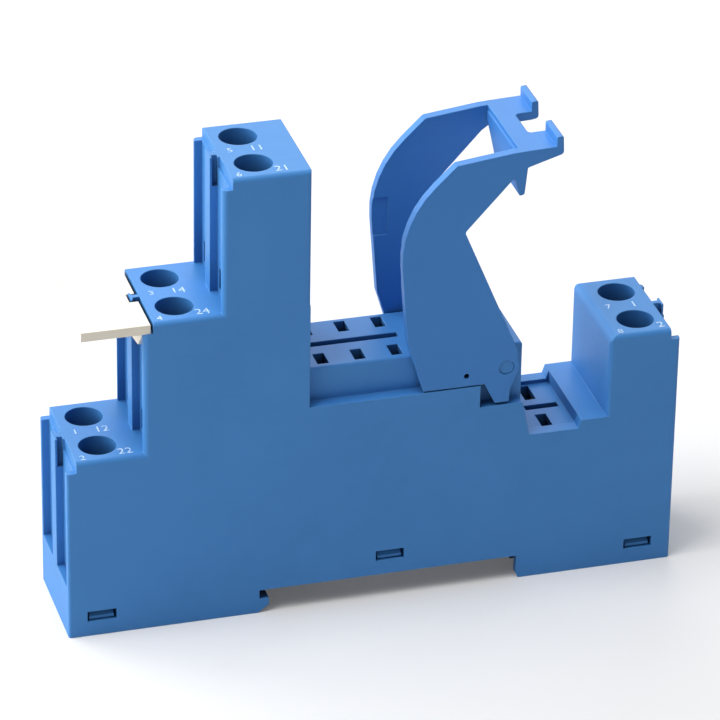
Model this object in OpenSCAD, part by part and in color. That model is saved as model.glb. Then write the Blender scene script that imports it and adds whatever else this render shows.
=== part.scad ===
// Screw-terminal relay socket for a 35 mm rail, with box-clamp terminals in four steps,
// fork contacts under the relay platform and a hinged clip that holds and ejects the relay.
// X runs along the rail's width from the wire end of the low step, Y across the socket and
// Z up from the feet. The origin is the middle of the underside.

/* [Housing] */
// Width across the socket
body_w = 15.8; // [15.2:0.1:18]
// Length of the low terminal step
low_l = 10.25; // [9.8:0.05:14]
// Length of the middle terminal step
mid_l = 10.35; // [9.8:0.05:14]
// Length of the tall terminal tower
tall_l = 11.6; // [10.5:0.1:14]
// Length of the relay platform
relay_l = 29.2; // [28.8:0.1:34]
// Length of the plug-in module bay
bay_l = 11.6; // [10:0.1:16]
// Length of the terminal tower at the other end
end_l = 9.7; // [9.4:0.1:14]
// Height of the low step
low_h = 26.1; // [24:0.1:32]
// Height of the middle step
mid_h = 45.1; // [43:0.1:50]
// Height of the tall tower
tall_h = 64.2; // [60:0.1:72]
// Height of the end tower
end_h = 34.9; // [33:0.1:40]
// Height of the relay platform
platform_h = 34.8; // [33.5:0.1:38]
// Thickness of the outer walls
wall = 1.2; // [1:0.05:1.4]

/* [Relay platform] */
// Drop from the platform to the ledge beside it, under the clip arms
ledge_drop = 4.8; // [4.4:0.1:5.6]
// Width of the ledge from the side face to the platform
ledge_w = 1.8; // [1.7:0.05:2.2]
// Distance between neighbouring contact slots
slot_pitch = 5; // [4.5:0.1:5.5]
// First contact slot, from the tower
slot_inset = 2.5; // [2.3:0.1:3]
// Coil slot, from the last contact slot
coil_gap = 15; // [13:0.1:16]
// Size of a contact slot along the rail's width
slot_x = 1.5; // [1.2:0.1:1.9]
// Size of a contact slot across the socket
slot_y = 2.75; // [2.5:0.05:3.6]
// Width of the groove between the two rows
groove_w = 1.2; // [0.8:0.1:1.4]
// Depth of that groove
groove_d = 4; // [2:0.1:5]

/* [Module bay] */
// Height of the bay's floor
bay_h = 21.2; // [20.5:0.1:22.5]
// Height of the low side wall beside the floor
lip_h = 21.75; // [21.3:0.05:23]
// Height of the step at the end tower
step_h = 22.95; // [22.5:0.05:25]
// Length of that step
step_l = 3.6; // [2:0.1:5]
// Module slot, from the platform's end
module_inset = 4.2; // [3.6:0.1:5]
// Size of a module slot across the socket
module_slot_y = 3.7; // [3:0.1:4]

/* [Terminals] */
// Distance of the screws from a step's wire end
well_inset = 5; // [4.9:0.05:5.6]
// Diameter of the screwdriver wells
well_d = 5; // [4.8:0.1:5.2]
// Depth of a well down to the screw head
well_depth = 5.4; // [4.5:0.1:6]
// Diameter of the screw head
head_d = 4.4; // [4:0.1:4.5]
// Height of the screw head
head_h = 2.2; // [1.8:0.1:2.4]
// Diameter of the screw thread
thread_d = 3; // [2.5:0.1:3]
// Width of the wire openings
wire_w = 3.8; // [3:0.1:3.9]
// Height of the wire opening below the bar
wire_h = 3.2; // [2.6:0.1:3.4]
// Outer width of a clamp cage
cage_w = 5; // [4.8:0.05:5.1]
// Wall of a clamp cage
cage_wall = 0.6; // [0.5:0.05:0.6]
// Travel of a clamp cage from open to closed
cage_travel = 3; // [2:0.1:3]
// Thickness of the contact bars
bar_t = 0.8; // [0.6:0.05:0.9]

/* [End channels] */
// Depth of the channels down each wire end
channel_d = 1.05; // [0.8:0.05:1.1]
// Width of the rib between the two channels
rib_w = 2.4; // [2:0.1:2.8]
// Depth of the marker seat below a step's top
seat_d = 1.5; // [1.2:0.05:2]
// Length of the marker seat
seat_l = 1.3; // [1.15:0.05:1.6]

/* [Rail foot] */
// Width of the rail slot
rail_w = 35.4; // [35.2:0.1:36]
// Distance from the low step's wire end to the rail slot
rail_inset = 25.65; // [25:0.05:26.5]
// Height of the rail's seat above the feet
rail_h = 3.4; // [3.2:0.1:4]
// Reach of the fixed hook under the rail
hook_l = 1.3; // [1:0.05:1.6]
// Clear height above the hook for the rail's edge
hook_gap = 1.3; // [1.2:0.05:1.6]
// Thickness of the base plate
plate_t = 1.6; // [1.2:0.05:1.7]
// Reach of the snap finger under the rail
finger_reach = 0.7; // [0.4:0.05:0.9]

/* [Retaining clip] */
// Thickness of a clip arm
arm_t = 1.3; // [1.1:0.05:1.3]
// Diameter of the pivot stubs
pivot_d = 2; // [1.6:0.1:2.4]
// Distance of the pivot from the platform's bay end
pivot_back = 2.55; // [2.3:0.05:3]
// Drop from the platform to the pivot
pivot_drop = 2.55; // [2.3:0.05:2.8]
// Height of the clip's top plate above the pivot
clip_h = 31.35; // [29:0.05:34]
// Reach of the arms from the pivot towards the tower
arm_l = 14.65; // [13.5:0.05:16]
// Reach of the clip's top from the pivot the other way
lip_l = 6.6; // [6:0.1:8]
// Width of the finger notch in the clip's top
notch_w = 5.7; // [4.6:0.1:7]
// Thickness of the clip's top plate
top_t = 1.2; // [1:0.05:1.5]

/* [Marker tag] */
// Thickness of the tag
tag_t = 1.25; // [1:0.05:1.4]
// Length of the tag
tag_l = 9.05; // [8:0.05:10]
// Length of the tag's legs
leg_l = 3.7; // [3:0.1:3.9]

/* [Hidden] */

blue = "#3E70B0";
steel = "#B9BCC0";
brass = "#C8A24A";
ivory = "#E6DCC8";

eps = 0.01;             // overreach of a cut
fit = 0.1;              // clearance of a fixed piece in its seat
gap = 0.3;              // clearance beside a moving piece
run = 0.05;             // radial clearance of a thread or pivot
grip = 0.02;            // clearance of a bar in its slot, each side

// Stations along X
mid_x = low_l;
tall_x = mid_x + mid_l;
platform_x = tall_x + tall_l;
bay_x = platform_x + relay_l;
end_x = bay_x + bay_l;
body_l = end_x + end_l;
step_x = end_x - step_l;
rail_x = rail_inset;
rail_end = rail_x + rail_w;

// The four terminals of a row: wire end of the step, top of the step, and the side that the
// wire comes from, 1 for the low end and -1 for the other
TERMINALS = [[0, low_h, 1], [mid_x, mid_h, 1], [tall_x, tall_h, 1], [body_l, end_h, -1]];
room_w = cage_w + 2 * gap;
row_y = wall + room_w / 2;
function screw_x(t) = t[0] + t[2] * well_inset;

// Depths in a terminal, down from the top of its step
shelf_t = 1.2;          // shelf under the screw head
collar_h = 2;           // threaded top of the cage
cage_floor = 0.8;
shelf_z = well_depth + head_h;
cage_z = shelf_z + shelf_t + gap + cage_travel;
bar_z = cage_z + collar_h + 0.2;
wire_z = bar_z + bar_t;
cage_h = wire_z + wire_h + cage_floor - cage_z;
cage_room = cage_w / 2 + gap;

// Contact bars: a flat tongue in the cage, a strip and a fork under the relay's blade
tongue_w = 3;
tongue_tip = 0.5;       // tongue's reach into the end wall
tongue_end = 0.8;       // tongue's reach past the cage room
strip_w = 2;
fork_w = 2.2;
fork_gap = 0.45;
fork_l = 7;
fork_top = platform_h - 1.4;
module_fork_l = 4.5;
module_fork_top = bay_h - 1.1;
roof = 0.9;             // wall over a fork
fork_room = fork_w / 2 + 0.2;
RUNS = [low_h - bar_z - strip_w, fork_top - fork_l - 3 * strip_w, fork_top - fork_l - strip_w,
        module_fork_top - module_fork_l - 3.2];         // height of each bar's long run

// Contact slots along X
SLOTS = [for (i = [0:2]) platform_x + slot_inset + i * slot_pitch];
coil_x = SLOTS[2] + coil_gap;
module_x = bay_x + module_inset;
BAR_SLOTS = [SLOTS[2], SLOTS[1], SLOTS[0], coil_x];

// Base plate
plate_x = wall + fit;
riser_l = rail_x - 1.5;
riser_r = rail_end + 2.6;
finger_x = rail_end + 0.35;
finger_t = 1.1;
window_l = 3.9;
window_h = 1.5;
WINDOWS = [[2.5, 2.15], [(rail_x + rail_end) / 2 - window_l / 2 + 0.1, rail_h + 2.1],
           [body_l - 6.6, 2.15]];

// Rounding of the housing's edges
r_top = 0.6;
r_low = 0.35;
r_step = 0.7;
r_cross = 1.3;

// Clip
ledge_h = platform_h - ledge_drop;
pivot_h = platform_h - pivot_drop;
pivot_x = bay_x - pivot_back;
arm_y = 0.1;            // clip's outer face, in from the housing's side face
hub_r = pivot_d / 2 + 0.7;
arm_foot = pivot_drop - ledge_drop + 0.2;   // arms' lower edge, over the ledge
tail_h = arm_foot - 3;                      // tail's lower edge, in the notch
notch_x = pivot_x - 3.55;
notch_end = pivot_x + 2.3;
notch_h = pivot_h + tail_h - 0.4;
recess_d = 0.2;
web_x = 0.144 * lip_l;
web_z = 0.807 * clip_h;
notch_back = 0.523 * lip_l;                 // finger notch, from the pivot
// Raised lip along the edge of the clip's top, from the pivot
lip_view = [[0.871 * lip_l, clip_h, 0], [0.871 * lip_l, 1.043 * clip_h, 0.2],
            [lip_l, 1.046 * clip_h, 0.2], [1.018 * lip_l, 0.9665 * clip_h, 0.5]];

// ---- helpers ----

module place() translate([-body_l / 2, -body_w / 2, 0]) children();

// A side view (X, Z) made solid from y0 to y1
module side(y0, y1) translate([0, y1, 0]) rotate([90, 0, 0]) linear_extrude(y1 - y0) children();

// An end view (Y, Z) made solid from x0 to x1
module along(x0, x1) translate([x0, 0, 0]) rotate([90, 0, 90]) linear_extrude(x1 - x0) children();

module box(p, q) translate(p) cube(q - p);

module rect(p, q) translate(p) square(q - p);

// The same thing in the near row and, mirrored, in the far row
module both_rows() {
    children();
    far_row() children();
}
module far_row() translate([0, body_w, 0]) mirror([0, 1, 0]) children();

// A shape drawn for a wire end on the low side, turned round for one on the other side
module facing(way) if (way > 0) children(); else mirror([1, 0, 0]) children();

// What is cut away outside a rounded corner that points to the upper right before its turn
module corner_waste(p, r, turn) translate(p) rotate(turn) difference() {
    rect([-r, -r], [1, 1]);
    translate([-r, -r]) circle(r = r, $fn = 48);
    rect([-2 * r, -2 * r], [-r, 0]);
    rect([-2 * r, -2 * r], [0, -r]);
}

// Rectangle with a radius at each corner: lower left, lower right, upper right, upper left
module round_rect(p, q, r) difference() {
    rect(p, q);
    if (r[0] > 0) corner_waste(p, r[0], 180);
    if (r[1] > 0) corner_waste([q[0], p[1]], r[1], 270);
    if (r[2] > 0) corner_waste(q, r[2], 0);
    if (r[3] > 0) corner_waste([p[0], q[1]], r[3], 90);
}

// Outline whose points are [x, y, radius]; each radius is turned into a short arc
function unit(v) = v / norm(v);
function arc_at(a, b, c, r, n = 6) = let(
        p = [b[0], b[1]],
        u = unit([a[0], a[1]] - p),
        v = unit([c[0], c[1]] - p),
        half = acos(u * v) / 2,
        o = p + unit(u + v) * r / sin(half),
        s = p + u * r / tan(half) - o,
        e = p + v * r / tan(half) - o,
        a0 = atan2(s[1], s[0]),
        turn = (atan2(e[1], e[0]) - a0 + 900) % 360 - 180)
    [for (i = [0:n]) o + r * [cos(a0 + turn * i / n), sin(a0 + turn * i / n)]];
function rounded(pts) = let(n = len(pts)) [for (i = [0:n - 1])
    each pts[i][2] > 0 ? arc_at(pts[(i + n - 1) % n], pts[i], pts[(i + 1) % n], pts[i][2])
                       : [[pts[i][0], pts[i][1]]]];

// ---- housing ----

// Step or tower from x0 to x1 with rounded upright edges and rounded top edges
module step_block(x0, x1, top, r0, r1, cross = 0) intersection() {
    linear_extrude(top) round_rect([x0, 0], [x1, body_w], [r0, r1, r1, r0]);
    along(x0, x1) round_rect([0, 0], [body_w, top], [0, 0, r_top, r_top]);
    side(0, body_w) round_rect([x0, 0], [x1, top], [0, 0, 0, cross]);
}

// Side wall beside the platform and the bay, with the notch for the clip's tail
module ledge_view() polygon([
    [platform_x - 1, 1], [platform_x - 1, ledge_h], [notch_x, ledge_h], [notch_x, notch_h],
    [notch_end, notch_h], [notch_end + 1.1, lip_h], [step_x - 0.4, lip_h], [step_x, step_h],
    [end_x + 1, step_h], [end_x + 1, 1]]);

module platform() intersection() {
    side(ledge_w, body_w - ledge_w)
        round_rect([platform_x - 1, bay_h - 1], [bay_x, platform_h], [0, 0, 0.25, 0]);
    along(platform_x - 1, bay_x)
        round_rect([ledge_w, bay_h - 1], [body_w - ledge_w, platform_h], [0, 0, 0.3, 0.3]);
}

module blocks() {
    step_block(0, platform_x, low_h, r_low, 0);
    step_block(mid_x, platform_x, mid_h, r_step, 0);
    step_block(tall_x, platform_x, tall_h, r_step, 0.4);
    step_block(end_x, body_l, end_h, 0.5, 0.5, r_cross);
    box([platform_x - 2, 0, 0], [end_x + 2, body_w, bay_h]);
    box([step_x, 0, bay_h - 1], [end_x + 2, body_w, step_h]);
    both_rows() side(0, ledge_w) ledge_view();
    platform();
    both_rows() translate([pivot_x, arm_y + 0.15, pivot_h]) rotate([-90, 0, 0])
        cylinder(d = pivot_d, h = ledge_w, $fn = 48);
}

// Wire end of a step: two shallow channels beside a rib, the marker's seat and, near the top,
// a pocket in each side of the rib for the marker's legs
module wire_end(t, foot) {
    rib_y = (body_w - rib_w) / 2;
    translate([t[0], 0, 0]) facing(t[2]) both_rows() {
        box([-1, 1, foot], [channel_d, rib_y, t[1] + 1]);
        box([-1, -1, t[1] - seat_d], [seat_l, rib_y - eps, t[1] + 1]);
        box([0.3, rib_y - eps, t[1] - 4.1], [channel_d, rib_y + 0.7, t[1] + 1]);
    }
}

// Where the marker lies over the rib, the rib stops at the seat and carries a hook instead
module hook_room(t) translate([t[0], 0, 0]) facing(t[2]) both_rows() {
    box([-1, -1, t[1] - seat_d], [0.05, body_w / 2 + eps, t[1] + 1]);
    box([0.5, -1, t[1] - seat_d], [seat_l, body_w / 2 - 0.35, t[1] + 1]);
    box([-1, -1, t[1] - seat_d], [seat_l, body_w / 2 - 0.95, t[1] + 1]);
}

// Screwdriver well, screw passage, cage room and wire opening of one terminal
module terminal_room(t) {
    x = screw_x(t);
    top = t[1];
    floor_z = floor_at(x, x);
    translate([x, row_y, top]) {
        translate([0, 0, -well_depth]) cylinder(d = well_d, h = well_depth + 1, $fn = 48);
        translate([0, 0, -shelf_z]) cylinder(d = head_d + 2 * fit, h = head_h + 1, $fn = 48);
        translate([0, 0, -cage_z]) cylinder(d = thread_d + 4 * fit, h = cage_z - shelf_z + 1, $fn = 48);
    }
    box([x - cage_room, row_y - room_w / 2, floor_z],
        [x + cage_room, row_y + room_w / 2, top - shelf_z - shelf_t]);
    translate([x, row_y, 0]) facing(t[2]) {
        box([-well_inset, -wire_w / 2, top - wire_z - wire_h - 0.1],
            [0, wire_w / 2, top - wire_z - 0.3]);
        box([-cage_room - tongue_tip - fit, -tongue_w / 2 - fit, top - wire_z],
            [0, tongue_w / 2 + fit, top - bar_z + fit]);
        box([0, -tongue_w / 2 - fit, floor_z],
            [cage_room + tongue_end + fit, tongue_w / 2 + fit, top - bar_z + fit]);
    }
}

// Height at which the rooms end above the base plate
function floor_at(x0, x1) = (x1 < riser_l - plate_t - 1.5 || x0 > riser_r + plate_t + 1.5)
    ? plate_t + fit / 2 : rail_h + plate_t + fit / 2;

// A contact slot and the room for the fork under it
module slot_room(x, y, top, fork_z) {
    box([x - slot_x / 2, row_y - y / 2, fork_z], [x + slot_x / 2, row_y + y / 2, top + 1]);
    box([x - fork_room, row_y - y / 2, fork_z - 1], [x + fork_room, row_y + y / 2, top - roof]);
}

// Slot for a bar's strips, open down to the base plate, so that the bar goes in from below
module bar_slot(i) side(row_y - bar_t / 2 - grip, row_y + bar_t / 2 + grip)
    for (s = strips(i))
        rect([s[0] - fit, floor_at(s[0], s[2])], [s[2] + fit, s[3] + fit]);

// Rail slot with its fixed hook on the low side
module rail_view() {
    hook_z = rail_h - hook_gap;
    polygon([[rail_x - 0.15, -1], [rail_x - 0.15, 0], [rail_x + hook_l, hook_z - 1],
             [rail_x + hook_l, hook_z], [rail_x, hook_z], [rail_x, rail_h],
             [rail_end, rail_h], [rail_end, 0.6], [rail_end + 0.3, 0], [rail_end + 0.3, -1]]);
}

// Opening for a snap tab, and the room for the tab behind it
module window(w) {
    box([w[0], -1, w[1]], [w[0] + window_l, wall + 0.5, w[1] + window_h]);
    box([w[0] - 0.2, wall, w[1] - 1], [w[0] + window_l + 0.2, wall + 1.2, w[1] + window_h + 0.2]);
}

module housing() color(blue) place() difference() {
    blocks();
    wire_end(TERMINALS[0], 7.2);
    wire_end(TERMINALS[1], low_h);
    wire_end(TERMINALS[2], mid_h);
    wire_end(TERMINALS[3], 9);
    hook_room(TERMINALS[1]);
    hook_room(TERMINALS[3]);
    both_rows() {
        for (t = TERMINALS) terminal_room(t);
        for (i = [0:3]) bar_slot(i);
        for (x = SLOTS) slot_room(x, slot_y, platform_h, fork_top - fork_l);
        slot_room(coil_x, slot_y, platform_h, fork_top - fork_l);
        slot_room(module_x, module_slot_y, bay_h, module_fork_top - module_fork_l);
        for (w = WINDOWS) window(w);
    }
    box([platform_x, (body_w - groove_w) / 2, platform_h - groove_d],
        [SLOTS[2] + slot_x, (body_w + groove_w) / 2, platform_h + 1]);
    box([module_x - slot_x, (body_w - groove_w) / 2, bay_h - groove_d],
        [step_x - 0.7, (body_w + groove_w) / 2, bay_h + 1]);
    side(-1, body_w + 1) rail_view();
    side(wall, body_w - wall) plate_view(fit);
    box([finger_x - 1, wall, -1], [riser_r, body_w - wall, rail_h + eps]);
}

// ---- base plate ----

// Side view of the plate, grown by c all round
module plate_view(c) polygon([
    [plate_x - c, -c], [riser_l + c, -c], [riser_l + c, rail_h - c], [riser_r - c, rail_h - c],
    [riser_r - c, -c], [body_l - plate_x + c, -c], [body_l - plate_x + c, plate_t + c],
    [riser_r + plate_t + c, plate_t + c], [riser_r + plate_t + c, rail_h + plate_t + c],
    [riser_l - plate_t - c, rail_h + plate_t + c], [riser_l - plate_t - c, plate_t + c],
    [plate_x - c, plate_t + c]]);

// Snap tab that stands on the plate and catches in a window
module snap_tab(w) {
    y = wall + fit;
    box([w[0] + 0.3, y, w[1] - 1], [w[0] + window_l - 0.3, y + 0.8, w[1] + window_h]);
    along(w[0] + 0.3, w[0] + window_l - 0.3)
        polygon([[y + eps, w[1] + 0.15], [0.4, w[1] + 0.15], [0.4, w[1] + 0.5], [y + eps, w[1] + 1.3]]);
}

module base_plate() color(blue) place() {
    side(wall + fit, body_w - wall - fit) plate_view(0);
    both_rows() for (w = WINDOWS) snap_tab(w);
    side(body_w / 2 - 3.5, body_w / 2 + 3.5) polygon([
        [finger_x, rail_h + eps], [finger_x, rail_h - hook_gap], [rail_end - finger_reach, rail_h - hook_gap],
        [rail_end - finger_reach, rail_h - hook_gap - 0.4], [finger_x + 0.2, 0.3], [finger_x + finger_t, 0.3],
        [finger_x + finger_t, rail_h + eps]]);
}

// ---- retaining clip ----

// One arm seen from the side, from its pivot: long edge, shoulder, top and lip, then back down
// to the hub and the tail. One arm has a tooth where the web meets it.
module arm_view(tooth) difference() {
    translate([pivot_x, pivot_h]) union() {
        polygon(rounded(concat(
            [[-0.771 * arm_l, arm_foot, 0], [-0.928 * arm_l, 0.179 * clip_h, 1],
             [-1.024 * arm_l, 0.73 * clip_h, 14], [-0.512 * arm_l, 0.963 * clip_h, 0.8],
             [0, 0.992 * clip_h, 0]],
            lip_view,
            [[0.295 * lip_l, 0.92 * clip_h, 0.25]],
            tooth ? [[0.242 * lip_l, 0.801 * clip_h, 0.3], [0.136 * lip_l, 0.794 * clip_h, 0.3]] : [],
            [[0.03 * lip_l, 0.88 * clip_h, 0.2], [-0.423 * arm_l, 0.655 * clip_h, 0.5],
             [hub_r * 0.8, 0.083 * clip_h, 0.5], [hub_r, 0, 0], [hub_r * 0.3, tail_h / 2 - hub_r / 2, 0.3],
             [0.4, tail_h, 0.2], [-1.5, tail_h, 0.2], [-3, arm_foot, 0]])));
        circle(r = hub_r, $fn = 48);
    }
    translate([pivot_x, pivot_h]) circle(r = pivot_d / 2 + run, $fn = 48);
    translate([pivot_x - 0.372 * arm_l, pivot_h - 0.55]) circle(r = 0.38, $fn = 32);
}

module top_plate() difference() {
    translate([pivot_x, 0, pivot_h]) {
        side(arm_y, body_w - arm_y) polygon(rounded(concat(
            [[web_x, 0.994 * clip_h, 0]],
            lip_view,
            [[0.85 * lip_l, clip_h - top_t, 0], [web_x, 0.994 * clip_h - top_t, 0]])));
        along(web_x - 0.2, web_x + arm_t - 0.4) polygon([
            [arm_y + 1, clip_h - 0.85], [arm_y + 1, web_z], [body_w - 5.9, web_z],
            [body_w - arm_t - 0.5, 0.938 * clip_h], [body_w - arm_t - 0.5, clip_h - 0.85]]);
    }
    translate([pivot_x + notch_back, 0, pivot_h + 0.9 * clip_h]) linear_extrude(clip_h)
        polygon(rounded([[0, (body_w - notch_w) / 2, 0.6], [lip_l, (body_w - notch_w) / 2, 0],
                         [lip_l, (body_w + notch_w) / 2, 0], [0, (body_w + notch_w) / 2, 0.6]]));
}

// Shallow square recess in the inner face of each arm, open at its long edge
module recess() translate([pivot_x, 0, pivot_h])
    box([-1.1 * arm_l, arm_y + arm_t - recess_d, 0.445 * clip_h],
        [-0.84 * arm_l, body_w / 2, 0.619 * clip_h]);

module retaining_clip() color(blue) place() {
    difference() {
        union() {
            side(arm_y, arm_y + arm_t) arm_view(true);
            far_row() side(arm_y, arm_y + arm_t) arm_view(false);
        }
        both_rows() recess();
    }
    top_plate();
}

// ---- marker tag ----

module marker_tag() color(ivory) place() {
    seat_z = mid_h - seat_d;
    tag_end = mid_x + channel_d - fit;
    leg_y = (body_w - rib_w) / 2 - 0.15;
    difference() {
        box([tag_end - tag_l, 0.15, seat_z], [tag_end, body_w - 0.15, seat_z + tag_t]);
        box([mid_x - 0.2, leg_y + 0.25, seat_z - 1], [tag_end + 1, body_w - leg_y - 0.25, seat_z + tag_t + 1]);
    }
    both_rows() {
        along(mid_x + 0.1, tag_end - 0.05) polygon([
            [1.3, seat_z + eps], [1.3, seat_z - 0.2 * leg_l], [0.54 * leg_y, seat_z - 0.86 * leg_l],
            [leg_y, seat_z - leg_l], [leg_y, seat_z + eps]]);
        along(mid_x + 0.4, tag_end - 0.05) polygon([
            [leg_y - 0.15, seat_z - 0.38 * leg_l], [leg_y + 0.65, seat_z - 0.43 * leg_l],
            [leg_y + 0.65, seat_z - 0.51 * leg_l], [leg_y - 0.15, seat_z - 0.65 * leg_l]]);
    }
}

// ---- terminals ----

// Screw with a slotted and crossed head; its tip stands just over the bar's tongue
module terminal_screw(t) color(steel) place() translate([screw_x(t), row_y, t[1] - shelf_z]) {
    r = thread_d / 2;
    tip = shelf_z - bar_z + 0.1;
    difference() {
        rotate_extrude($fn = 48) polygon([
            [0, tip], [r - 0.4, tip], [r, tip + 0.4], [r, 0], [head_d / 2, 0],
            [head_d / 2, head_h - 0.4], [head_d / 2 - 0.4, head_h], [0, head_h]]);
        box([-0.45, -head_d, head_h - 1], [0.45, head_d, head_h + 1]);
        box([-head_d * 0.32, -0.4, head_h - 1.3], [head_d * 0.32, 0.4, head_h + 1]);
    }
}

// Rising cage: threaded collar over the tongue, floor under the wire
module clamp_cage(t) color(steel) place() translate([screw_x(t), row_y, t[1] - cage_z - cage_h])
    difference() {
        linear_extrude(cage_h) round_rect([-cage_w / 2, -cage_w / 2], [cage_w / 2, cage_w / 2],
                                          [0.4, 0.4, 0.4, 0.4]);
        box([-cage_w, -cage_w / 2 + cage_wall, cage_floor],
            [cage_w, cage_w / 2 - cage_wall, cage_h - collar_h]);
        translate([0, 0, cage_floor + 1]) cylinder(d = thread_d + 2 * run, h = cage_h, $fn = 48);
    }

// Strips of a row's bar i, as [x0, z0, x1, z1] in the side view
function strips(i) = let(
        t = TERMINALS[i],
        x0 = screw_x(t) + t[2] * cage_room,
        x1 = x0 + t[2] * strip_w,
        z = RUNS[i],
        stem = BAR_SLOTS[i])
    concat(
        [[min(x0, x1), z, max(x0, x1), t[1] - bar_z],
         [min(x0, stem - fork_w / 2), z, max(x0, stem + fork_w / 2), z + strip_w],
         [stem - fork_w / 2, z, stem + fork_w / 2, fork_top]],
        i == 3 ? [[module_x - fork_w / 2, z, module_x + fork_w / 2, module_fork_top]] : []);

// What is cut from a stem to leave two prongs that pinch a blade
module fork_gap_view(x, top, l) translate([x, top]) polygon([
    [-0.75, eps], [-fork_gap / 2, -1], [-fork_gap / 2, -1.6], [-fork_gap, -2.6], [-fork_gap, 0.3 - l],
    [0, -l], [fork_gap, 0.3 - l], [fork_gap, -2.6], [fork_gap / 2, -1.6], [fork_gap / 2, -1], [0.75, eps]]);

module contact_bar(i) color(brass) place() {
    t = TERMINALS[i];
    side(row_y - bar_t / 2, row_y + bar_t / 2) difference() {
        union() for (s = strips(i)) rect([s[0], s[1]], [s[2], s[3]]);
        fork_gap_view(BAR_SLOTS[i], fork_top, fork_l);
        if (i == 3) fork_gap_view(module_x, module_fork_top, module_fork_l);
    }
    translate([screw_x(t), row_y, t[1]]) facing(t[2])
        box([-cage_room - tongue_tip, -tongue_w / 2, -wire_z], [cage_room + tongue_end, tongue_w / 2, -bar_z]);
}

housing();
base_plate();
retaining_clip();
marker_tag();
for (i = [0:3]) {
    terminal_screw(TERMINALS[i]);
    mirror([0, 1, 0]) terminal_screw(TERMINALS[i]);
    clamp_cage(TERMINALS[i]);
    mirror([0, 1, 0]) clamp_cage(TERMINALS[i]);
    contact_bar(i);
    mirror([0, 1, 0]) contact_bar(i);
}
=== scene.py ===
# %% [markdown]
# # A relay socket for a 35 mm rail
# This lesson dresses a finished mechanical model: a narrow blue socket with eight clamp screws,
# a platform with contact slots for a small relay, and a hinged clip that holds the relay down.
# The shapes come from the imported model, which is loaded as a fixed frame. What is added here is
# the finish of each material, the printing beside the wells, and a plain studio.

# %% Load the frame
import math

import bmesh
import bpy
from mathutils import Matrix, Vector


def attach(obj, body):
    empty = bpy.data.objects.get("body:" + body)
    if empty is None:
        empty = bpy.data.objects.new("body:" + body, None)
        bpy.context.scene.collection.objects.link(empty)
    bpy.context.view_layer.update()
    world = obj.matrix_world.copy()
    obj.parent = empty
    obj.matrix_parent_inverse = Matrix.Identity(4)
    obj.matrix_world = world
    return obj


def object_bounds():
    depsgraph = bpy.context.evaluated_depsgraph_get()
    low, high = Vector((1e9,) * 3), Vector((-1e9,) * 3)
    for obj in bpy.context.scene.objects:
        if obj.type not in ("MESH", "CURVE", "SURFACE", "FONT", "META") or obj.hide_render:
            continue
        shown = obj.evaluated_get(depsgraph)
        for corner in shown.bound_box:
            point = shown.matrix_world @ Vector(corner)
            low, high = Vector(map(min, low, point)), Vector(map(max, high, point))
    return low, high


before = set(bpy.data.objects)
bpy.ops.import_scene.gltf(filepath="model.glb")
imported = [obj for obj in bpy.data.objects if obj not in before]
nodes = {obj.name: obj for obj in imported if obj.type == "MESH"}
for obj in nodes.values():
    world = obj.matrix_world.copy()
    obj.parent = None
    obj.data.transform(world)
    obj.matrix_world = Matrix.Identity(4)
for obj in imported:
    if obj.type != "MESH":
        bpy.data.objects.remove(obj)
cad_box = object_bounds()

scene = bpy.context.scene

# %% [markdown]
# ## Shorthand for lengths and colours
# Blender counts in metres and the socket is drawn in millimetres, so MM turns one into the
# other. Places on the socket are easiest to give from one corner of its underside, at the low
# step's wire end and near side. That corner is read from the loaded model instead of typed, so
# that the two can't drift apart. Colours are picked as on a screen, from 0 to 255, but shaders
# add up light and want linear numbers, so a second helper turns one into the other.

# %% Lengths and colours
MM = 0.001
low, high = (Vector(corner) for corner in cad_box)


def spot(x, y, z):
    """A point given in millimetres from the low step's wire end, near side, underside."""
    return Vector((low.x + x * MM, low.y + y * MM, z * MM))


def linear(red, green, blue):
    """A colour given as on a screen, 0 to 255, as the linear numbers that shaders want."""

    def channel(value):
        value /= 255
        return value / 12.92 if value <= 0.04045 else ((value + 0.055) / 1.055) ** 2.4

    return (channel(red), channel(green), channel(blue), 1.0)


print("socket: %.1f x %.1f x %.1f mm" % tuple((high - low) / MM))

# %% [markdown]
# ## The camera
# Small parts are usually shown through a long lens from some way off, so that upright edges stay
# nearly parallel. A camera can be aimed by hand or with a constraint. Here three angles and a
# distance from a point on the part give its place outright, which leaves nothing live in the
# file. Two small offsets and a lens shift frame the part without tilting the camera.

# %% Camera
turn_left, look_down, roll = math.radians(16.405), math.radians(28.587), math.radians(0.9986)
aim = spot(42.0, 7.9, 20.0)
off_right, off_up, distance = 0.474 * MM, -12.470 * MM, 640.947 * MM
LENS, SENSOR = 242.88, 36
SHIFT_RIGHT, SHIFT_UP = -1 / 720, -18 / 720  # parts of the frame's width
NEAREST, FARTHEST = 0.05, 20  # what the camera sees, in metres

back = Vector(
    (
        -math.sin(turn_left) * math.cos(look_down),
        -math.cos(turn_left) * math.cos(look_down),
        math.sin(look_down),
    )
)
right = Vector((math.cos(turn_left), -math.sin(turn_left), 0))
up = back.cross(right)
right, up = (
    right * math.cos(roll) + up * math.sin(roll),
    up * math.cos(roll) - right * math.sin(roll),
)

camera_data = bpy.data.cameras.new("camera")
camera_data.sensor_width = SENSOR
camera_data.lens = LENS
camera_data.shift_x = SHIFT_RIGHT
camera_data.shift_y = SHIFT_UP
camera_data.clip_start = NEAREST
camera_data.clip_end = FARTHEST
camera = bpy.data.objects.new("camera", camera_data)
turned = Matrix((right, up, back)).transposed().to_4x4()
place = aim - right * off_right - up * off_up + back * distance
camera.matrix_world = Matrix.Translation(place) @ turned
scene.collection.objects.link(camera)
scene.camera = camera
print("camera at", [round(v, 3) for v in place])

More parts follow.
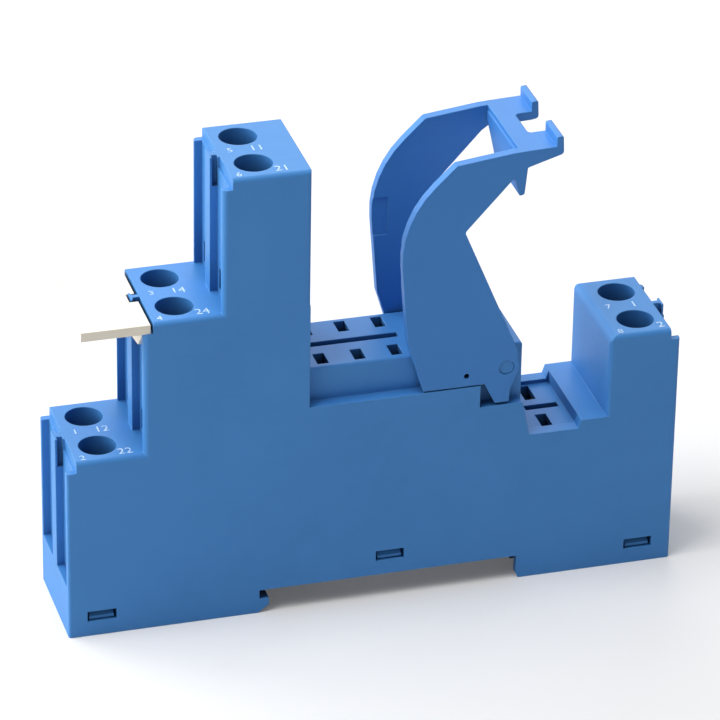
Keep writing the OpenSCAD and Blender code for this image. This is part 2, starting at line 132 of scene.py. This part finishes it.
# %% [markdown]
# ## Shorthand for materials
# Materials can be built by hand in the node editor. A script that builds them says every number
# in one place and makes them the same way each time. Three helpers do most of it: one adds a
# node with its settings, one joins outputs to inputs, and one takes a value from one range to
# another.

# %% Nodes and links


def new_material(name):
    """An empty node material and its node tree."""
    material = bpy.data.materials.new(name)
    material.use_nodes = True
    tree = material.node_tree
    tree.nodes.clear()
    return material, tree


def node(tree, kind, **settings):
    """A node with its settings; a name that isn't a property is an input socket."""
    made = tree.nodes.new(kind)
    for name, value in settings.items():
        if hasattr(made, name):
            setattr(made, name, value)
        else:
            made.inputs[name.replace("_", " ")].default_value = value
    return made


def link(tree, *pairs):
    """Join each pair's output to its input."""
    for output, target in pairs:
        tree.links.new(output, target)


def spread(tree, value, low_out, high_out, low_in=0.3, high_in=0.7):
    """Value taken from one range to another and held there; most noise lies in 0.3 to 0.7."""
    mapped = node(
        tree,
        "ShaderNodeMapRange",
        From_Min=low_in,
        From_Max=high_in,
        To_Min=low_out,
        To_Max=high_out,
    )
    link(tree, (value, mapped.inputs["Value"]))
    return mapped.outputs["Result"]


print("helpers ready")

# %% [markdown]
# ## The studio
# A white sweep of card under soft boxes is the usual setting. A curved backdrop would do for one
# view, but the part is looked at from all sides, so the floor is one wide disc. More lamps could
# make it white, and would bleach the part too. Instead a little light is added that only camera
# and mirror rays see. Little is added near the part, where its shadow falls, and more further
# out, where no lamp reaches, so that the floor runs into the white of the room.

# %% Two kinds of ray
scene.view_settings.view_transform = "Standard"


def seen_directly(tree):
    """1 for rays from the camera, a mirror or through glass, and 0 for all other light."""
    rays = node(tree, "ShaderNodeLightPath").outputs
    total = rays["Is Camera Ray"]
    for name in ("Is Glossy Ray", "Is Transmission Ray"):
        highest = node(tree, "ShaderNodeMath", operation="MAXIMUM")
        link(tree, (total, highest.inputs[0]), (rays[name], highest.inputs[1]))
        total = highest.outputs[0]
    return total


def by_ray(tree, lighting, seen):
    """One shader for the light that falls on things, another for what is seen directly."""
    choose = node(tree, "ShaderNodeMixShader")
    link(
        tree,
        (seen_directly(tree), choose.inputs[0]),
        (lighting.outputs[0], choose.inputs[1]),
        (seen.outputs[0], choose.inputs[2]),
    )
    return choose


print("colours shown with", scene.view_settings.view_transform)

# %% Floor
FLOOR_RADIUS, FLOOR_DROP = 3.0, 0.02 * MM
PAPER = (0.80, 0.80, 0.80, 1)
BLACK, WHITE = (0, 0, 0, 1), (1, 1, 1, 1)
# Distances from the middle in metres between which the added light rises, and its two levels
GLOW_STARTS, GLOW_ENDS = 0.30, 1.10
NEAR_GLOW, FAR_GLOW = 0.09, 1.0

floor_mesh = bpy.data.meshes.new("floor")
bm = bmesh.new()
bmesh.ops.create_circle(bm, cap_ends=True, segments=96, radius=FLOOR_RADIUS)
bmesh.ops.translate(bm, verts=bm.verts, vec=(0, 0, -FLOOR_DROP))
bm.to_mesh(floor_mesh)
bm.free()
floor = bpy.data.objects.new("floor", floor_mesh)
scene.collection.objects.link(floor)

card, tree = new_material("white_card")
paper = node(tree, "ShaderNodeBsdfDiffuse", Color=PAPER)
glow = node(tree, "ShaderNodeEmission", Color=WHITE)
nothing = node(tree, "ShaderNodeEmission", Color=BLACK, Strength=0.0)
where = node(tree, "ShaderNodeTexCoord").outputs["Object"]
from_middle = node(tree, "ShaderNodeVectorMath", operation="LENGTH")
link(tree, (where, from_middle.inputs[0]))
rise = spread(
    tree, from_middle.outputs["Value"], NEAR_GLOW, FAR_GLOW, GLOW_STARTS, GLOW_ENDS
)
both = node(tree, "ShaderNodeAddShader")
end = node(tree, "ShaderNodeOutputMaterial")
link(
    tree,
    (rise, glow.inputs["Strength"]),
    (paper.outputs[0], both.inputs[0]),
    (by_ray(tree, nothing, glow).outputs[0], both.inputs[1]),
    (both.outputs[0], end.inputs[0]),
)
floor_mesh.materials.append(card)
print("floor radius:", FLOOR_RADIUS, "m")

# %% World
ROOM_LIGHT, ROOM_SEEN = 0.15, 1.0

world = bpy.data.worlds.new("studio")
world.use_nodes = True
scene.world = world
tree = world.node_tree
tree.nodes.clear()
dim = node(tree, "ShaderNodeBackground", Color=WHITE, Strength=ROOM_LIGHT)
white = node(tree, "ShaderNodeBackground", Color=WHITE, Strength=ROOM_SEEN)
end = node(tree, "ShaderNodeOutputWorld")
link(tree, (by_ray(tree, dim, white).outputs[0], end.inputs[0]))
print("room lights the part at", ROOM_LIGHT, "and is seen at", ROOM_SEEN)

# %% [markdown]
# ## The lamps
# One big lamp overhead would light all tops alike and leave every wall flat. Five soft boxes
# shape the part instead. A weak one hangs straight above it. Two stand at the left, one low and
# one high, and light the wire ends of the steps. Two stand behind, so that the tops come out
# pale while the near side, which faces away from both, stays a deeper blue. Each is wide for
# its distance, so that shadows have soft edges.

# %% Lamps
LAMP_AIM = Vector((0, 0, 0.03))
# Each lamp's place and side in metres, and its watts
LAMPS = {
    "lamp_above": ((-0.05, 0.00, 0.60), 0.40, 1.6),
    "lamp_left": ((-0.85, 0.10, 0.38), 0.50, 3.4),
    "lamp_upper_left": ((-0.50, -0.15, 0.75), 0.50, 3.4),
    "lamp_back_left": ((-0.60, 0.60, 0.35), 0.50, 4.3),
    "lamp_back": ((0.15, 0.80, 0.45), 0.50, 2.1),
}
for name, (lamp_place, side, watts) in LAMPS.items():
    data = bpy.data.lights.new(name, "AREA")
    data.shape = "SQUARE"
    data.size = side
    data.energy = watts
    lamp = bpy.data.objects.new(name, data)
    lamp.location = lamp_place
    towards = LAMP_AIM - Vector(lamp_place)
    lamp.rotation_euler = towards.to_track_quat("-Z", "Y").to_euler()
    scene.collection.objects.link(lamp)
print("lamps:", list(LAMPS))

# %% [markdown]
# ## Mottle and mixed shades
# No moulded or rolled surface has one even shade. A painted image could show that, but it needs
# unwrapping and blurs up close. Noise on object coordinates needs neither, keeps its size on
# every piece, and moves with the piece. Helpers make the noise, stretch it into streaks, mix
# two shades by it, and lay it over a surface as bump. One more finds the edges.

# %% Noise and mixed shades


def grain(tree, where, scale, detail=4.0, roughness=0.55):
    """A noise texture on object coordinates; scale counts features per metre."""
    noise = node(tree, "ShaderNodeTexNoise", Scale=scale, Detail=detail, Roughness=roughness)
    link(tree, (where, noise.inputs["Vector"]))
    return noise.outputs["Fac"]


def streaks(tree, where, detail, **stretch):
    """A noise texture that a Mapping node stretches, for marks that run one way."""
    mapping = node(tree, "ShaderNodeMapping", **stretch)
    noise = node(tree, "ShaderNodeTexNoise", Scale=1.0, Detail=detail)
    link(tree, (where, mapping.inputs["Vector"]), (mapping.outputs[0], noise.inputs["Vector"]))
    return noise.outputs["Fac"]


def blend_colours(tree, share, first, second):
    """Mix of two colours by a share; each is a colour or a socket."""
    mix = node(tree, "ShaderNodeMix", data_type="RGBA")
    link(tree, (share, mix.inputs["Factor"]))
    for name, colour in (("A", first), ("B", second)):
        socket = [s for s in mix.inputs if s.name == name and s.type == "RGBA"][0]
        if isinstance(colour, tuple):
            socket.default_value = colour
        else:
            link(tree, (colour, socket))
    return [s for s in mix.outputs if s.type == "RGBA"][0]


print("noise, streaks and mixed shades ready")

# %% Bump and edges


def bumped(tree, height, normal, strength, distance):
    """A normal with a height laid over it as bump; distance is the height's size in metres."""
    bump = node(tree, "ShaderNodeBump", Strength=strength, Distance=distance)
    link(tree, (height, bump.inputs["Height"]), (normal, bump.inputs["Normal"]))
    return bump.outputs[0]


# How near two normals are, as their dot product, at a full edge and on a flat face
AT_EDGE, ON_FACE = 0.75, 0.995


def edge_highlight_share(tree, rounded, gain):
    """Share of painted edge highlight: 0 on flat faces and up to gain where the rounded normal
    leaves the true one.
    """
    true_normal = node(tree, "ShaderNodeNewGeometry").outputs["Normal"]
    dot = node(tree, "ShaderNodeVectorMath", operation="DOT_PRODUCT")
    link(tree, (rounded, dot.inputs[0]), (true_normal, dot.inputs[1]))
    return spread(tree, dot.outputs["Value"], gain, 0.0, AT_EDGE, ON_FACE)


print("bump and edges ready")

# %% [markdown]
# ## Moulded plastic
# Up close a moulding has a fine matt grain from the spark-eroded mould, slow changes of shade
# where the plastic flowed, faint rub marks, and edges that are never quite sharp. The edges
# could be bevelled as geometry, but this is a measured model whose meshes stay as they are, so a
# Bevel node turns only the shading normal along each edge, and the edge catches the light. The
# colour is also painted paler along each edge, as a painted highlight. Each of the others is one
# branch of nodes too: a slow noise moves the colour, a fine noise drives roughness and bump, and
# a stretched one leaves the rubs. An Ambient Occlusion node finds the hollows, where the plastic
# looks darker because light has few ways in, and paints them darker in the colour as painted
# shade.

# %% Moulded plastic
# Features per metre of the slow flow marks, the cloudy patches and the mould's grain
FLOW, CLOUD, MOULD_GRAIN = 55.0, 420.0, 5200.0
CLOUD_MOST = 0.5
# Rub marks run lengthwise and lean a little; only the peaks of their noise show, and faintly
RUBS = {"Scale": (60.0, 900.0, 4200.0), "Rotation": (0.0, 0.35, 0.0)}
RUB_MOST, RUB_PEAKS = 0.03, (0.62, 0.74)
# Each bump's strength, and its height in metres
GRAIN_BUMP, FLOW_BUMP = (0.22, 0.03 * MM), (0.12, 0.4 * MM)
# What the grain takes from the roughness and adds to it
SMOOTHER, ROUGHER = 0.06, 0.07
# How far off a wall can be and still darken a face with painted shade, and the open shares of the
# sky between which each of the two painted hollow shades fades out
HOLLOW_REACH = 12 * MM
SHADED_SKY, HIDDEN_SKY = (0.14, 0.52), (0.0, 0.18)


def moulded(name, deep, mid, pale, shaded, painted_deep_shade, rough, edge=0.55, radius=0.18):
    """Moulded plastic in three near shades and two painted shades for hollows; radius is an
    edge's, in mm.
    """
    material, tree = new_material(name)
    where = node(tree, "ShaderNodeTexCoord").outputs["Object"]
    shader = node(tree, "ShaderNodeBsdfPrincipled", IOR=1.5, Specular_IOR_Level=0.3)
    end = node(tree, "ShaderNodeOutputMaterial")

    flow = spread(tree, grain(tree, where, FLOW, detail=3.0), 0.0, 1.0)
    cloud = spread(tree, grain(tree, where, CLOUD, detail=5.0), 0.0, CLOUD_MOST)
    fine = grain(tree, where, MOULD_GRAIN, detail=3.0, roughness=0.6)
    rubs = spread(tree, streaks(tree, where, detail=2.0, **RUBS), 0.0, RUB_MOST, *RUB_PEAKS)
    soft = node(tree, "ShaderNodeBevel", samples=6, Radius=radius * MM).outputs[0]
    sky = node(tree, "ShaderNodeAmbientOcclusion", samples=8, Distance=HOLLOW_REACH).outputs["AO"]

    colour = blend_colours(tree, flow, deep, mid)
    colour = blend_colours(tree, cloud, colour, mid)
    colour = blend_colours(tree, rubs, colour, pale)
    # Painted highlight: the colour turns paler along each edge, by the share that edge sets
    colour = blend_colours(tree, edge_highlight_share(tree, soft, edge), colour, pale)
    # Painted shade: hollows found by the AO node are painted darker, first towards the shaded
    # tone, then towards the deep one
    colour = blend_colours(tree, spread(tree, sky, 0.0, 1.0, *SHADED_SKY), shaded, colour)
    colour = blend_colours(tree, spread(tree, sky, 0.0, 1.0, *HIDDEN_SKY), painted_deep_shade, colour)

    roughness = spread(tree, fine, rough - SMOOTHER, rough + ROUGHER)
    normal = bumped(tree, fine, soft, *GRAIN_BUMP)
    normal = bumped(tree, flow, normal, *FLOW_BUMP)
    link(
        tree,
        (colour, shader.inputs["Base Color"]),
        (roughness, shader.inputs["Roughness"]),
        (normal, shader.inputs["Normal"]),
        (shader.outputs[0], end.inputs[0]),
    )
    return material


def dress(name, finish):
    """Give a node of the model this finish in place of its plain one."""
    materials = nodes[name].data.materials
    materials.clear()
    materials.append(finish)


print("moulded plastic ready")

# %% [markdown]
# ## Blue nylon
# The housing, the base plate and the clip are glass-filled nylon, moulded in blue. One material
# could serve all three. The clip comes from another mould and is a little smoother and deeper in
# shade, so it has its own, from the same function.

# %% Blue nylon
DEEP_BLUE, MID_BLUE = linear(62, 129, 196), linear(67, 135, 203)
DEEP_CLIP_BLUE, MID_CLIP_BLUE = linear(58, 124, 196), linear(63, 130, 203)
# SHADED_BLUE and PAINTED_DEEP_SHADE_NAVY are painted shade for the hollows, not shades of the
# nylon itself
PALE_BLUE, SHADED_BLUE, PAINTED_DEEP_SHADE_NAVY = linear(104, 172, 236), linear(46, 100, 156), linear(14, 27, 50)

blue = moulded("blue_nylon", DEEP_BLUE, MID_BLUE, PALE_BLUE, SHADED_BLUE, PAINTED_DEEP_SHADE_NAVY, 0.52)
blue_clip = moulded(
    "blue_nylon_clip", DEEP_CLIP_BLUE, MID_CLIP_BLUE, PALE_BLUE, SHADED_BLUE, PAINTED_DEEP_SHADE_NAVY, 0.50
)
dress("housing", blue)
dress("base_plate", blue)
dress("retaining_clip", blue_clip)
print("blue nylon on housing, base_plate, retaining_clip")

# %% [markdown]
# ## The marker tag
# The tag is a softer, off-white plastic that takes ink. Old stock yellows a little, so the shade
# drifts between a cool white and a warmer one. It is moulded too, so it is the same recipe with
# other shades, a finer edge and a smoother face.

# %% Ivory tag
ivory = moulded(
    "ivory_plastic",
    deep=linear(226, 216, 196),
    mid=linear(238, 231, 216),
    pale=linear(250, 246, 238),
    # shaded and painted_deep_shade are painted shade for the tag's hollows
    shaded=linear(212, 203, 184),
    painted_deep_shade=linear(168, 157, 138),
    rough=0.46,
    # edge is the share of painted highlight along the tag's edges
    edge=0.25,
    radius=0.12,
)
dress("marker_tag", ivory)
print("ivory plastic on marker_tag")

# %% [markdown]
# ## Metals inside
# The screws are turned steel with a bright zinc coat, the cages are the same steel pressed and
# tumbled dull, and the contact bars are rolled brass. An anisotropic shader could show how metal
# was worked, but it needs directions laid out on every piece. A noise stretched along the way
# the metal was rolled or turned needs none, and it drives both roughness and bump.

# %% Metals
TERMINALS = range(1, 9)
METAL_EDGE = 0.08 * MM
# Features per metre of the tumbled patches and of the stains, which show where their noise peaks
PATCHES, STAINS = 700.0, 1900.0
STAIN_MOST, STAIN_PEAKS = 0.55, (0.56, 0.72)
# What the streaks take from the roughness and add to it, and their bump's strength and height
POLISHED, SCRATCHED = 0.08, 0.10
STREAK_BUMP = (0.25, 0.02 * MM)


def metal(name, first, second, rough, stretch_by, stain=None):
    """Metal with streaks along one way, tumbled patches and, if asked for, a stain."""
    material, tree = new_material(name)
    where = node(tree, "ShaderNodeTexCoord").outputs["Object"]
    shader = node(tree, "ShaderNodeBsdfPrincipled", Metallic=1.0)
    end = node(tree, "ShaderNodeOutputMaterial")

    streak = streaks(tree, where, detail=3.0, Scale=stretch_by)
    patch = spread(tree, grain(tree, where, PATCHES), 0.0, 1.0)
    colour = blend_colours(tree, patch, first, second)
    if stain:
        stained = grain(tree, where, STAINS, detail=3.0)
        spots = spread(tree, stained, 0.0, STAIN_MOST, *STAIN_PEAKS)
        colour = blend_colours(tree, spots, colour, stain)
    roughness = spread(tree, streak, rough - POLISHED, rough + SCRATCHED)
    soft = node(tree, "ShaderNodeBevel", samples=4, Radius=METAL_EDGE).outputs[0]
    link(
        tree,
        (colour, shader.inputs["Base Color"]),
        (roughness, shader.inputs["Roughness"]),
        (bumped(tree, streak, soft, *STREAK_BUMP), shader.inputs["Normal"]),
        (shader.outputs[0], end.inputs[0]),
    )
    return material


zinc = metal("bright_zinc", linear(156, 158, 162), linear(178, 180, 184), 0.30, (900, 900, 5000))
cage_steel = metal(
    "tumbled_zinc",
    linear(176, 178, 180),
    linear(198, 200, 201),
    0.38,
    (3000, 900, 900),
    stain=linear(150, 148, 140),
)
brass = metal(
    "rolled_brass",
    linear(206, 170, 98),
    linear(222, 188, 116),
    0.30,
    (400, 3000, 3000),
    stain=linear(150, 112, 62),
)
for name, finish in (("terminal_screw", zinc), ("clamp_cage", cage_steel), ("contact_bar", brass)):
    for terminal in TERMINALS:
        dress("%s_%d" % (name, terminal), finish)
print("metals on", 3 * len(TERMINALS), "nodes")

# %% [markdown]
# ## Printing beside the wells
# Each terminal has its number printed in white ink on the step, beside the well of its screw,
# and by it the number of its contact. The ink is a thin film. It could be a pattern in the blue
# plastic, but then every digit would have to be drawn with nodes. A text object is easy to place
# and has crisp edges. It is a curve, so it is turned into a mesh first, and its place is then
# written into the mesh. The ink's face stands about 0.02 mm above the plastic.

# %% White ink
INK, WORN_INK = linear(214, 233, 248), linear(128, 182, 234)
# Features per metre of the worn patches, the noise between which the wear runs, and the same
# measure for the film's uneven gloss, with its two roughnesses
WEAR, WEAR_NOISE = 2600.0, (0.36, 0.66)
GLOSS, GLOSS_ROUGHNESS = 4000.0, (0.45, 0.65)

ink, tree = new_material("white_ink")
where = node(tree, "ShaderNodeTexCoord").outputs["Object"]
shader = node(tree, "ShaderNodeBsdfPrincipled", IOR=1.5)
end = node(tree, "ShaderNodeOutputMaterial")
worn = spread(tree, grain(tree, where, WEAR), 0.0, 1.0, *WEAR_NOISE)
uneven = spread(tree, grain(tree, where, GLOSS), *GLOSS_ROUGHNESS)
link(
    tree,
    (blend_colours(tree, worn, INK, WORN_INK), shader.inputs["Base Color"]),
    (uneven, shader.inputs["Roughness"]),
    (shader.outputs[0], end.inputs[0]),
)
print("ink ready:", ink.name)

# %% Terminal numbers
INK_HALF, INK_GAP = 0.01, 0.002  # half the film's thickness and the gap under it, in mm


def printed(name, text, at, height):
    """Text as a thin mesh that lies face up, its middle at a point, read from the near side."""
    curve = bpy.data.curves.new(name, "FONT")
    curve.body = text
    curve.size = height * MM
    curve.align_x = "CENTER"
    curve.align_y = "CENTER"
    curve.extrude = INK_HALF * MM
    curve.resolution_u = 3
    shaped = bpy.data.objects.new(name + "_curve", curve)
    scene.collection.objects.link(shaped)
    bpy.context.view_layer.update()
    mesh = bpy.data.meshes.new_from_object(
        shaped.evaluated_get(bpy.context.evaluated_depsgraph_get())
    )
    bpy.data.objects.remove(shaped)
    bpy.data.curves.remove(curve)
    mesh.name = name
    mesh.transform(Matrix.Translation(at + Vector((0, 0, (INK_HALF + INK_GAP) * MM))))
    mesh.materials.clear()
    mesh.materials.append(ink)
    piece = bpy.data.objects.new(name, mesh)
    scene.collection.objects.link(piece)
    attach(piece, "socket")


# Each step: its top, the X from which its numbers are placed, and the numbers of the near and
# the far terminal, the contact's first. That X is the middle of the wells, but on the end tower
# it is 0.35 mm less, so that the numbers clear the seat for a marker.
STEPS = [
    ("low", 26.1, 5.0, ("22", "2"), ("12", "1")),
    ("middle", 45.1, 15.25, ("24", "4"), ("14", "3")),
    ("tall", 64.2, 25.6, ("21", "6"), ("11", "5")),
    ("end", 34.9, 77.7 - 0.35, ("2", "8"), ("1", "7")),
]
# From that X to the contact's number and to the terminal's own, each with its Y on the step
NEAR_SPOTS = ((3.1, 1.7), (-2.6, 1.25))
FAR_SPOTS = ((1.5, 8.0), (-2.0, 8.1))
NUMBER_SIZES = (2.0, 1.6)

count = 0
for step, top, from_x, near, far in STEPS:
    for row, spots, texts in (("near", NEAR_SPOTS, near), ("far", FAR_SPOTS, far)):
        for (dx, y), text, size in zip(spots, texts, NUMBER_SIZES):
            printed("number_%s_%s_%s" % (step, row, text), text, spot(from_x + dx, y, top), size)
            count += 1
print("numbers printed:", count)
